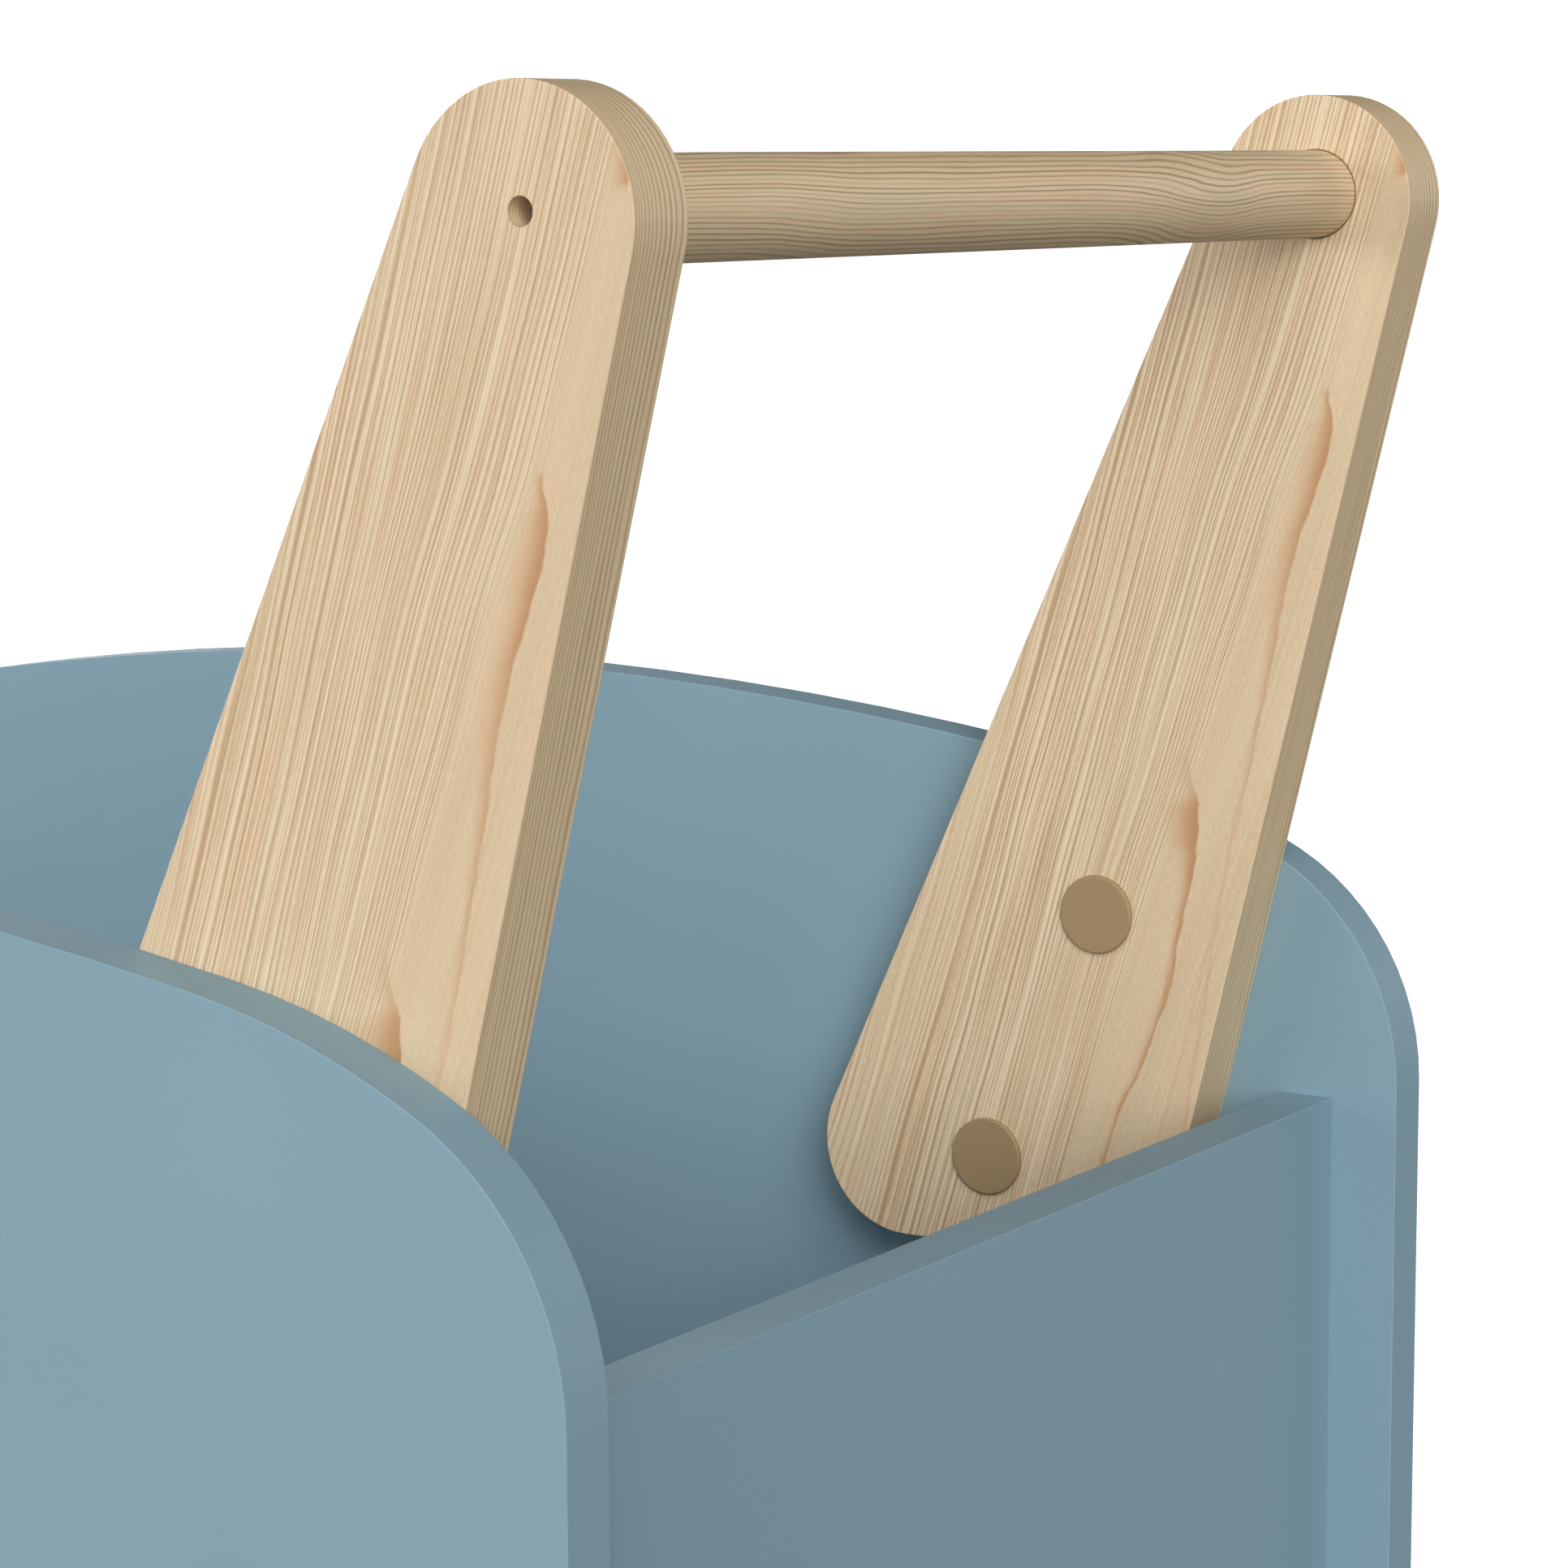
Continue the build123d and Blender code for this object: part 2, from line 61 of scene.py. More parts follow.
def linear(hex_colour):
    """The linear colour, with alpha, of an sRGB hex value."""
    channels = [int(hex_colour[i:i + 2], 16) / 255 for i in (1, 3, 5)]
    return tuple(
        c / 12.92 if c <= 0.04045 else ((c + 0.055) / 1.055) ** 2.4 for c in channels
    ) + (1.0,)


def add(tree, kind, *values, inputs=None, out=0, stops=None, curve=None, **settings):
    """Adds a node and gives back one of its outputs. Values, or outputs that feed them, fill its
    sockets in order, or by name through inputs. Stops are a ramp's places and colours, or greys,
    curve is a float curve's points, and the rest are the node's settings. A Mix node's sockets
    share their names, so they go by number: 6 and 7 for its colours, whose mix comes out at 2,
    and 2 and 3 for plain values."""
    node = tree.nodes.new("ShaderNode" + kind)
    for name, value in settings.items():
        setattr(node, name, value)
    for key, value in [*enumerate(values), *(inputs or {}).items()]:
        if isinstance(value, bpy.types.NodeSocket):
            tree.links.new(value, node.inputs[key])
        else:
            node.inputs[key].default_value = value
    if stops:
        elements = node.color_ramp.elements
        for place, _ in stops[2:]:
            elements.new(place)
        for element, (place, colour) in zip(elements, stops):
            element.position = place
            element.color = colour if isinstance(colour, tuple) else (colour,) * 3 + (1.0,)
    if curve:
        points = node.mapping.curves[0].points
        points[0].location = curve[0]
        points[-1].location = curve[-1]
        for point in curve[1:-1]:
            points.new(*point)
        node.mapping.update()
    return node.outputs[out]


def new_material(name, roughness, **shader_inputs):
    """A material with its Principled shader and the piece's own coordinates."""
    material = bpy.data.materials.new(name)
    material.use_nodes = True
    tree = material.node_tree
    shader = tree.nodes["Principled BSDF"]
    shader.inputs["Roughness"].default_value = roughness
    for key, value in shader_inputs.items():
        shader.inputs[key.replace("_", " ")].default_value = value
    place = add(tree, "TexCoord", out="Object")
    return material, tree, shader, place


def feed(tree, shader, **sources):
    """Links nodes' outputs to the shader's sockets."""
    for key, source in sources.items():
        tree.links.new(source, shader.inputs[key.replace("_", " ")])


def dress(material, *names):
    """Gives CAD nodes their material."""
    for name in names:
        slots = nodes[name].data.materials
        slots.clear()
        slots.append(material)


CLOUDS = 9.0              # soft changes of the paint's tone per metre, each about 110 mm wide
DROPLET_MM = 0.8          # how wide the droplets of the sprayed paint are
PAINT_RELIEF_MM = 0.004   # and how high they stand


def painted_mdf():
    """Painted MDF, sprayed with matt water-based paint: even colour and a faint orange peel."""
    material, tree, shader, place = new_material(
        "painted_mdf_sprayed", roughness=0.58, Specular_IOR_Level=0.25
    )
    cloud = add(tree, "TexNoise", inputs={"Vector": place, "Scale": CLOUDS, "Detail": 2.0})
    tone = add(
        tree, "ValToRGB", cloud, stops=[(0.35, linear("#86A4B2")), (0.65, linear("#88A6B4"))]
    )
    peel = add(
        tree, "TexNoise",
        inputs={"Vector": place, "Scale": 1 / (DROPLET_MM * MM), "Detail": 1.0},
    )
    relief = add(tree, "Bump", inputs={"Height": peel, "Distance": PAINT_RELIEF_MM * MM})
    feed(tree, shader, Base_Color=tone, Normal=relief)
    return material


# The grain of the uprights, in mm. A point's grain place counts across the leaning fibres, from
# the far end to the handle end.
LEAN = 0.262              # how far the grain leans to the handle end, per mm of height
GRAIN_TOP = 560.0         # height at which the grain's places are counted
FAN_START = 300.0         # grain place, left of which the fibres fan out
FAN = 0.0008              # how much they fan out, per mm of place and of height
SWAY = 3.0                # how far the fibres wander from side to side

# The figure: a pale band and brown flames, drawn by heights and grain places in mm.
FIGURE_LOW = 270.0        # the heights between which its lines are drawn
FIGURE_HIGH = 600.0
FIGURE_LEFT = 230.0       # the grain places between which its lines are drawn
FIGURE_RIGHT = 345.0
BAND_START = 322.0        # grain place, at the top, where the streaks end and a pale band starts
BAND_BORDER = (
    (270, 298), (330, 302), (370, 306), (400, 310), (430, 312), (450, 313.5), (480, 316.3),
    (511, 320.2), (540, 321.9), (600, 324),
)
BEND_FROM = 55.0          # how far left of the band the fibres begin to follow its border
BEND_FULLY = 8.0          # and from where they follow it fully
BAND_EDGE = (-1.2, 0.8)   # from where to where, round its border, the streaks fade out
BAND_HIDES = 0.88         # the share of the streaks that goes in the pale band
LEFT_PALE = (262.0, 250.0)      # grain places between which the streaks grow fainter
LEFT_HIDES = 0.55               # and the share of them that goes

FLAME_WIDEST = 20.0       # width of a flame whose width is given as 1
FLAME_EDGE = 0.4          # half the width of its sharp border
FLAME_RAGGED = 2.2        # how far that border wanders from side to side
FLAME_UNEVEN = 0.1        # how much its strength does

# Each flame has a border line, widths as shares of the widest, and strengths, all by height.
FLAMES = (
    (   # the upper one
        ((270, 330), (379, 329.4), (413, 328), (439, 326.7), (459, 325.5), (470, 326.1),
         (483, 327.6), (495, 327.8), (501, 326.5), (508, 323.8), (600, 318)),
        ((270, 0.1), (413, 0.14), (459, 0.34), (480, 0.42), (490, 0.5), (500, 0.4), (508, 0.16),
         (600, 0.1)),
        ((270, 0.3), (370, 0.45), (413, 0.7), (459, 0.8), (483, 1.0), (503, 0.95), (509, 0.7),
         (512, 0.0), (600, 0.0)),
    ),
    (   # the lower one
        ((270, 313), (290, 314.7), (299.5, 315.3), (311, 318.2), (324, 319.8), (337, 320.9),
         (350, 320), (374, 318.7), (388, 316), (404, 309), (600, 305)),
        ((270, 0.14), (299, 0.14), (350, 0.2), (374, 0.36), (386, 0.75), (394, 0.3), (600, 0.1)),
        ((270, 1.0), (311, 1.0), (350, 1.0), (386, 1.0), (393, 0.7), (404, 0.3), (410, 0.0),
         (600, 0.0)),
    ),
    (   # a short patch beside the bar
        ((270, 330), (565, 330), (572, 329), (580, 326), (600, 325)),
        ((270, 0.3), (600, 0.3)),
        ((270, 0.0), (567, 0.0), (569, 0.9), (577, 0.6), (583, 0.0), (600, 0.0)),
    ),
    (   # a faint line near the right edge, low down
        ((270, 339), (310, 335.5), (382, 328.6), (404, 327.5), (600, 320)),
        ((270, 0.1), (600, 0.1)),
        ((270, 0.4), (382, 0.5), (404, 0.0), (600, 0.0)),
    ),
)

# The lines of the wood, in mm
LINE_SPACING = 1.7        # from one growth line to the next on the face
LINE_PUSH = 6.0           # how far they are pushed sideways at most, so that they lie unevenly
RING_SPACING = 0.9        # from one yearly ring to the next in a sawn edge, at the front face
RING_GROWTH = 11.25       # depth at which that has doubled
RING_SWAY = 1.6           # by how many rings the lines of a sawn edge wander
EDGE_FADE = (0.35, 0.1)   # from the faces, between which the edges' colour gives way to theirs
JOINT_GAP = 0.15          # how far outside the bar the dark joint round its end lies
JOINT_FADE = (0.1, 0.4)   # how far beside that it stays darkest, and where it ends
WOOD_RELIEF_MM = 0.02     # how deep the planed and turned wood's grain feels

# Shares of 1 in the wood's colours
LINE_MEAN = 0.46          # the growth lines' mean, which is taken off to keep the wood's tone
BAND_LIFT = 0.05          # how much lighter the wood is where its lines are hidden
TINT_SHARE = 0.3          # of pinker and greyer bands in the faces
EDGE_TINT_SHARE = 0.4     # of soft streaks in the sawn edges
FLAME_COVER = 0.95        # how much a flame at full strength covers
JOINT_DARK = 0.75         # how much the joint does
BAR_FIBRE_SHARE = 0.25    # of soft fibres in the bar


def curve_points(pairs, low=0.0, high=1.0):
    """A float curve's points, from heights in mm and values that run from low to high."""
    return [
        ((z - FIGURE_LOW) / (FIGURE_HIGH - FIGURE_LOW), (value - low) / (high - low))
        for z, value in pairs
    ]


def board_places(tree, place, face_y):
    """The places that the patterns of an upright are drawn from, in mm: its depth behind the
    board's front face, its drop from the top, its straight place across the leaning grain, and
    its height as a share of the figure's."""
    in_mm = add(tree, "VectorMath", inputs={0: place, "Scale": 1 / MM}, operation="SCALE")
    axes = add(tree, "SeparateXYZ", in_mm).node.outputs
    drop = add(tree, "Math", GRAIN_TOP, axes["Z"], operation="SUBTRACT")
    lean = add(tree, "Math", drop, LEAN, operation="MULTIPLY")
    return SimpleNamespace(
        tree=tree,
        in_mm=in_mm,
        depth=add(tree, "Math", axes["Y"], face_y / MM, operation="SUBTRACT"),
        drop=drop,
        straight=add(tree, "Math", axes["X"], lean, operation="ADD"),
        height=add(tree, "MapRange", axes["Z"], FIGURE_LOW, FIGURE_HIGH),
    )


def stretched(board, across, width, length, seed, detail=2.0, roughness=0.5):
    """Noise from 0 to 1 whose patches have a width across the grain and a length, in mm."""
    spot = add(board.tree, "CombineXYZ", across, board.drop, seed)
    scaled = add(
        board.tree, "VectorMath", spot, (1 / width, 1 / length, 1.0), operation="MULTIPLY"
    )
    return add(
        board.tree, "TexNoise",
        inputs={"Vector": scaled, "Scale": 1.0, "Detail": detail, "Roughness": roughness},
    )


def swing(board, across, reach, **noise):
    """Such noise, but from minus half its reach to plus half of it."""
    centred = add(board.tree, "Math", stretched(board, across, **noise), 0.5, operation="SUBTRACT")
    return add(board.tree, "Math", centred, reach, operation="MULTIPLY")


def figure_line(board, line):
    """The grain place, at a point's height, of a line that is drawn by heights and places."""
    share = add(
        board.tree, "FloatCurve", inputs={"Value": board.height},
        curve=curve_points(line, FIGURE_LEFT, FIGURE_RIGHT),
    )
    spread = add(board.tree, "Math", share, FIGURE_RIGHT - FIGURE_LEFT, operation="MULTIPLY")
    return add(board.tree, "Math", spread, FIGURE_LEFT, operation="ADD")


def grain_place(board):
    """A point's place across the fibres. They fan out to the left, sway a little, and close to
    the pale band they run along its border."""
    tree = board.tree
    to_border = add(
        tree, "Math", BAND_START, figure_line(board, BAND_BORDER), operation="SUBTRACT"
    )
    near_band = add(
        tree, "MapRange", board.straight, BAND_START - BEND_FROM, BAND_START - BEND_FULLY,
        interpolation_type="SMOOTHSTEP",
    )
    bend = add(tree, "Math", to_border, near_band, operation="MULTIPLY")
    from_fan = add(tree, "Math", board.straight, FAN_START, operation="SUBTRACT")
    left_part = add(tree, "Math", from_fan, 0.0, operation="MINIMUM")
    spread = add(tree, "Math", left_part, board.drop, operation="MULTIPLY")
    fan = add(tree, "Math", spread, FAN, operation="MULTIPLY")
    fanned = add(tree, "Math", board.straight, fan, operation="SUBTRACT")
    bent = add(tree, "Math", fanned, bend, operation="ADD")
    sway = swing(board, board.straight, SWAY, width=22.0, length=70.0, seed=3.0, detail=1.0)
    return add(tree, "Math", bent, sway, operation="ADD")


def streaks(board, across):
    """How much lighter or darker than its mean the planed face is, and the share of its lines
    that is hidden: growth lines, each with its own strength, finer fibres between them, pores,
    and a slow drift."""
    tree = board.tree
    in_band = add(
        tree, "MapRange", across, *(BAND_START + edge for edge in BAND_EDGE),
        interpolation_type="SMOOTHSTEP",
    )
    at_left = add(tree, "MapRange", across, *LEFT_PALE, interpolation_type="SMOOTHSTEP")
    hidden = add(
        tree, "Math", add(tree, "Math", in_band, BAND_HIDES, operation="MULTIPLY"),
        add(tree, "Math", at_left, LEFT_HIDES, operation="MULTIPLY"), operation="MAXIMUM",
    )
    shown = add(tree, "Math", 1.0, hidden, operation="SUBTRACT")

    wander = stretched(board, across, width=5.0, length=900.0, seed=21.0, detail=1.0)
    uneven = add(tree, "Math", wander, LINE_PUSH, operation="MULTIPLY")
    moved = add(tree, "Math", across, uneven, operation="ADD")
    phase = add(tree, "Math", moved, LINE_SPACING, operation="DIVIDE")
    number = add(tree, "Math", phase, operation="FLOOR")
    whose = add(tree, "TexWhiteNoise", inputs={"W": number}, noise_dimensions="1D")
    profile = add(
        tree, "ValToRGB", add(tree, "Math", phase, operation="FRACT"),
        stops=[
            (0.0, 0.42), (0.16, 1.0), (0.34, 0.5), (0.5, 0.0), (0.68, 0.45), (0.8, 0.62),
            (1.0, 0.42),
        ],
    )
    strength = add(tree, "MapRange", inputs={"Value": whose, "To Min": 0.3, "To Max": 0.85})
    contour = add(tree, "Math", profile, LINE_MEAN, operation="SUBTRACT")
    lines = add(tree, "Math", contour, strength, operation="MULTIPLY")

    fibres = swing(
        board, across, reach=1.15, width=0.7, length=80.0, seed=1.0, detail=2.0, roughness=0.6
    )
    pores = swing(board, across, reach=0.22, width=0.5, length=2.2, seed=9.0, detail=1.0)
    drift = swing(board, across, reach=0.18, width=6.0, length=160.0, seed=5.0)
    both = add(tree, "Math", lines, fibres, operation="ADD")
    seen = add(tree, "Math", both, shown, operation="MULTIPLY")
    fine = add(tree, "Math", seen, pores, operation="ADD")
    lift = add(tree, "Math", hidden, BAND_LIFT, operation="MULTIPLY")
    slow = add(tree, "Math", drift, lift, operation="ADD")
    return add(tree, "Math", fine, slow, operation="ADD")


def flame(board, ragged, line, widths, levels):
    """A patch of late wood, sharp on its right and soft to its left, from 0 to 1."""
    tree = board.tree
    to_line = add(tree, "Math", figure_line(board, line), board.straight, operation="SUBTRACT")
    wander = add(tree, "Math", ragged, FLAME_RAGGED, operation="MULTIPLY")
    gap = add(tree, "Math", to_line, wander, operation="ADD")
    share = add(
        tree, "FloatCurve", inputs={"Value": board.height}, curve=curve_points(widths)
    )
    width = add(tree, "Math", share, FLAME_WIDEST, operation="MULTIPLY")
    sharp = add(
        tree, "MapRange", gap, -FLAME_EDGE, FLAME_EDGE, interpolation_type="SMOOTHSTEP"
    )
    soft = add(
        tree, "MapRange", add(tree, "Math", gap, width, operation="DIVIDE"), 0.0, 1.0, 1.0, 0.0,
        interpolation_type="SMOOTHSTEP",
    )
    drawn = add(
        tree, "FloatCurve", inputs={"Value": board.height}, curve=curve_points(levels)
    )
    uneven = add(tree, "Math", ragged, FLAME_UNEVEN, operation="MULTIPLY")
    level = add(tree, "Math", drawn, uneven, operation="ADD")
    shape = add(tree, "Math", sharp, soft, operation="MULTIPLY")
    strength = add(tree, "Math", shape, level, operation="MULTIPLY")
    return add(tree, "Math", strength, 0.0, operation="MAXIMUM")


def planed_face(board, across, tone_place):
    """The colour of the planed faces: the streaks' tone, bands of tint and the flames."""
    tree = board.tree
    tone = add(
        tree, "ValToRGB", tone_place,
        stops=[
            (0.1, linear("#B8946B")), (0.34, linear("#CEAF87")), (0.5, linear("#DBC19D")),
            (0.68, linear("#E9D4B2")), (0.9, linear("#F2E3C8")),
        ],
    )
    # Some bands are pinker and some are greyer, each about 5 mm wide.
    tint = add(
        tree, "ValToRGB",
        stretched(board, across, width=4.5, length=220.0, seed=31.0, detail=2.0),
        stops=[(0.3, linear("#D1C2A1")), (0.5, linear("#DAC09C")), (0.7, linear("#E1B897"))],
    )
    body = add(tree, "Mix", TINT_SHARE, inputs={6: tone, 7: tint}, data_type="RGBA", out=2)
    ragged = swing(board, board.straight, reach=1.0, width=1.6, length=8.0, seed=11.0)
    flames = 0.0
    for line, widths, levels in FLAMES:
        one = flame(board, ragged, line, widths, levels)
        flames = add(tree, "Math", one, flames, operation="MAXIMUM")
    late_wood = add(
        tree, "ValToRGB", flames, stops=[(0.45, linear("#D0A479")), (1.0, linear("#C09064"))]
    )
    cover = add(tree, "Math", flames, FLAME_COVER, operation="MULTIPLY")
    return add(tree, "Mix", cover, inputs={6: body, 7: late_wood}, data_type="RGBA", out=2)


def sawn_edge(board):
    """The colour of the sawn edges, which cut the yearly rings. The rings lie closer together
    towards the front face, so their count grows with the logarithm of the depth."""
    tree = board.tree
    scaled = add(tree, "Math", board.depth, RING_GROWTH, operation="DIVIDE")
    shifted = add(tree, "Math", scaled, 1.0, operation="ADD")
    growth = add(tree, "Math", shifted, math.e, operation="LOGARITHM")
    count = add(tree, "Math", growth, RING_GROWTH / RING_SPACING, operation="MULTIPLY")
    wander = stretched(board, board.depth, width=7.0, length=60.0, seed=41.0)
    sway = add(tree, "Math", wander, RING_SWAY, operation="MULTIPLY")
    rings =add(tree, "Math", count, sway, operation="ADD")
    lines = add(
        tree, "ValToRGB", add(tree, "Math", rings, operation="FRACT"),
        stops=[
            (0.0, linear("#EAD4AF")), (0.5, linear("#E0C8A2")), (0.74, linear("#AC906B")),
            (0.86, linear("#AC906B")), (1.0, linear("#EAD4AF")),
        ],
    )
    tint = add(
        tree, "ValToRGB", stretched(board, board.depth, width=1.3, length=120.0, seed=51.0),
        stops=[(0.3, linear("#C4AB86")), (0.7, linear("#EBD2AC"))],
    )
    return add(
        tree, "Mix", EDGE_TINT_SHARE, inputs={6: lines, 7: tint}, data_type="RGBA", out=2
    )


def joint_round_bar(board, inner_depth):
    """How dark a point is for the thin joint round the end of the bar, from 0 to 1. It shows on
    the board's inner face only."""
    tree = board.tree
    from_bar = add(
        tree, "VectorMath", board.in_mm, tuple(bar_middle / MM), operation="SUBTRACT"
    )
    flat = add(tree, "VectorMath", from_bar, (1.0, 0.0, 1.0), operation="MULTIPLY")
    radius = add(tree, "VectorMath", flat, operation="LENGTH", out="Value")
    joint_radius = (bar_high.z - bar_low.z) / 2 / MM + JOINT_GAP
    beside = add(tree, "Math", radius, joint_radius, operation="SUBTRACT")
    off_joint = add(tree, "Math", beside, operation="ABSOLUTE")
    ring = add(tree, "MapRange", off_joint, *JOINT_FADE, JOINT_DARK, 0.0)
    inner = add(tree, "Math", board.depth, inner_depth, 1.0, operation="COMPARE")
    return add(tree, "Math", ring, inner, operation="MULTIPLY")


def pine_board(name, face_y, inner_depth, contrast):
    """Pine, planed and clear-lacquered: fine leaning streaks, a pale band and brown flames. The
    inner depth is how far, in mm, the face that holds the bar lies from the board's front."""
    material, tree, shader, place = new_material(name, roughness=0.5, Specular_IOR_Level=0.25)
    board = board_places(tree, place, face_y)
    across = grain_place(board)
    total = streaks(board, across)
    gained = add(tree, "Math", total, contrast, operation="MULTIPLY")
    face = planed_face(board, across, add(tree, "Math", gained, 0.5, operation="ADD"))

    half = upright_mm / 2
    off_centre = add(tree, "Math", board.depth, half, operation="SUBTRACT")
    from_middle = add(tree, "Math", off_centre, operation="ABSOLUTE")
    on_face = add(
        tree, "MapRange", from_middle, *(half - fade for fade in EDGE_FADE),
        interpolation_type="SMOOTHSTEP",
    )
    whole = add(
        tree, "Mix", on_face, inputs={6: sawn_edge(board), 7: face}, data_type="RGBA", out=2
    )
    jointed = add(
        tree, "Mix", joint_round_bar(board, inner_depth),
        inputs={6: whole, 7: linear("#4E4030")}, data_type="RGBA", out=2,
    )
    relief = add(tree, "Bump", inputs={"Height": total, "Distance": WOOD_RELIEF_MM * MM})
    feed(tree, shader, Base_Color=jointed, Normal=relief)
    return material


BAR_SHIFT = 6.0           # the most, in mm, that the bar's grain lines move up or down
BAR_LINE_SPACING = 1.15   # from one of them to the next, in mm
BAR_SWAY = 1.6            # how far they wander besides, in mm
BAR_TOP_FROM = (1.0, 12.0)      # heights above its middle, in mm, between which the wave changes
BAR_LOW_END = bar_low.y / MM
BAR_HIGH_END = bar_high.y / MM

# How far the bar's lines have moved down, in mm, at places along it in mm: in its lower part, and
# along its top
BAR_WAVE = (
    (BAR_LOW_END, -2.3), (-125, -2.3), (-100, -1.2), (-80, -0.2), (0, 0.0), (40, 0.4), (60, 1.4),
    (80, 3.6), (92, 4.6), (99, 4.8), (110, 4.3), (125, 3.0), (140, 2.6), (BAR_HIGH_END, 2.7),
)
BAR_TOP_WAVE = (
    (BAR_LOW_END, 0.8), (-120, -0.2), (-80, -0.3), (40, -0.5), (60, -0.9), (75, -1.2),
    (90, -0.4), (100, 0.6), (110, 1.6), (125, 2.0), (BAR_HIGH_END, 2.0),
)


def pine_dowel():
    """Pine dowel, turned and clear-lacquered: close lines along it, with one deep wave."""
    material, tree, shader, place = new_material(
        "pine_dowel_turned", roughness=0.5, Specular_IOR_Level=0.25
    )
    in_mm = add(tree, "VectorMath", inputs={0: place, "Scale": 1 / MM}, operation="SCALE")
    axes = add(tree, "SeparateXYZ", in_mm).node.outputs
    up = add(tree, "Math", axes["Z"], bar_middle.z / MM, operation="SUBTRACT")
    spot = add(tree, "MapRange", axes["Y"], BAR_LOW_END, BAR_HIGH_END)

    def wave_points(pairs):
        """A float curve's points, from places along the bar and shifts, both in mm."""
        length = BAR_HIGH_END - BAR_LOW_END
        return [((y - BAR_LOW_END) / length, 0.5 + mm / (2 * BAR_SHIFT)) for y, mm in pairs]

    def stretched_along(*sizes, detail=2.0):
        """Noise from 0 to 1 with its patch sizes in mm, in X, Y and Z."""
        scaled = add(
            tree, "VectorMath", in_mm, tuple(1 / size for size in sizes), operation="MULTIPLY"
        )
        return add(
            tree, "TexNoise", inputs={"Vector": scaled, "Scale": 1.0, "Detail": detail}
        )

    main = add(tree, "FloatCurve", inputs={"Value": spot}, curve=wave_points(BAR_WAVE))
    top = add(tree, "FloatCurve", inputs={"Value": spot}, curve=wave_points(BAR_TOP_WAVE))
    how_high = add(tree, "MapRange", up, *BAR_TOP_FROM)
    both = add(tree, "Mix", how_high, inputs={2: main, 3: top}, data_type="FLOAT")
    centred = add(tree, "Math", both, 0.5, operation="SUBTRACT")
    moved = add(tree, "Math", centred, 2 * BAR_SHIFT, operation="MULTIPLY")
    sway = add(tree, "Math", stretched_along(9.0, 70.0, 7.0), BAR_SWAY, operation="MULTIPLY")
    waved = add(tree, "Math", up, moved, operation="ADD")
    level = add(tree, "Math", waved, sway, operation="ADD")
    phase = add(tree, "Math", level, BAR_LINE_SPACING, operation="DIVIDE")
    number = add(tree, "Math", phase, operation="FLOOR")
    whose = add(tree, "TexWhiteNoise", inputs={"W": number}, noise_dimensions="1D")
    dark = add(
        tree, "ValToRGB", add(tree, "Math", phase, operation="FRACT"),
        stops=[(0.0, 0.0), (0.5, 0.05), (0.7, 1.0), (0.82, 1.0), (1.0, 0.0)],
    )
    strength = add(tree, "MapRange", inputs={"Value": whose, "To Min": 0.3, "To Max": 0.95})
    plain = add(
        tree, "ValToRGB", stretched_along(3.0, 90.0, 2.2),
        stops=[(0.3, linear("#E2D0AB")), (0.5, linear("#E7CFA9")), (0.7, linear("#EBC9A5"))],
    )
    lined = add(
        tree, "Mix", add(tree, "Math", dark, strength, operation="MULTIPLY"),
        inputs={6: plain, 7: linear("#8F7048")}, data_type="RGBA", out=2,
    )
    fibre = stretched_along(0.7, 25.0, 0.7)
    fibre_tone = add(
        tree, "ValToRGB", fibre, stops=[(0.3, linear("#CBB088")), (0.7, linear("#E3CFAC"))]
    )
    whole = add(
        tree, "Mix", BAR_FIBRE_SHARE, inputs={6: lined, 7: fibre_tone}, data_type="RGBA", out=2
    )
    relief = add(tree, "Bump", inputs={"Height": fibre, "Distance": WOOD_RELIEF_MM * MM})
    feed(tree, shader, Base_Color=whole, Normal=relief)
    return material


def beech(fleck_mm):
    """Beech, plain turned pegs: even pinkish tan with short darker flecks."""
    material, tree, shader, place = new_material("beech_turned", roughness=0.6)
    flecks = add(
        tree, "TexNoise", inputs={"Vector": place, "Scale": 1 / (fleck_mm * MM), "Detail": 3.0}
    )
    tone = add(
        tree, "ValToRGB", flecks, stops=[(0.35, linear("#BD9A74")), (0.6, linear("#D2B28C"))]
    )
    feed(tree, shader, Base_Color=tone)
    return material


def moulded(name, dark, light, roughness, grit_mm, depth_mm):
    """A moulded plastic or rubber: one colour, with the fine grit of the mould on its skin."""
    material, tree, shader, place = new_material(name, roughness)
    grit = add(
        tree, "TexNoise", inputs={"Vector": place, "Scale": 1 / (grit_mm * MM), "Detail": 2.0}
    )
    tone = add(tree, "ValToRGB", grit, stops=[(0.3, linear(dark)), (0.7, linear(light))])
    relief = add(tree, "Bump", inputs={"Height": grit, "Distance": depth_mm * MM})
    feed(tree, shader, Base_Color=tone, Normal=relief)
    return material


def metal(name, dark, light, low, high, patch_mm):
    """A metal: its colour, and its roughness from low to high, drift in soft patches, as plating
    and casting do."""
    material, tree, shader, place = new_material(name, (low + high) / 2, Metallic=1.0)
    patch = add(
        tree, "TexNoise", inputs={"Vector": place, "Scale": 1 / (patch_mm * MM), "Detail": 3.0}
    )
    tone = add(tree, "ValToRGB", patch, stops=[(0.3, linear(dark)), (0.7, linear(light))])
    gloss = add(tree, "MapRange", inputs={"Value": patch, "To Min": low, "To Max": high})
    feed(tree, shader, Base_Color=tone, Roughness=gloss)
    return material


paint = painted_mdf()
front_pine = pine_board(
    "pine_planed_front", upright_low.y, inner_depth=upright_mm, contrast=1.25
)
rear_pine = pine_board(
    "pine_planed_rear", rear_upright_low.y, inner_depth=0.0, contrast=1.65
)
bar_pine = pine_dowel()
peg_beech = beech(fleck_mm=1.2)
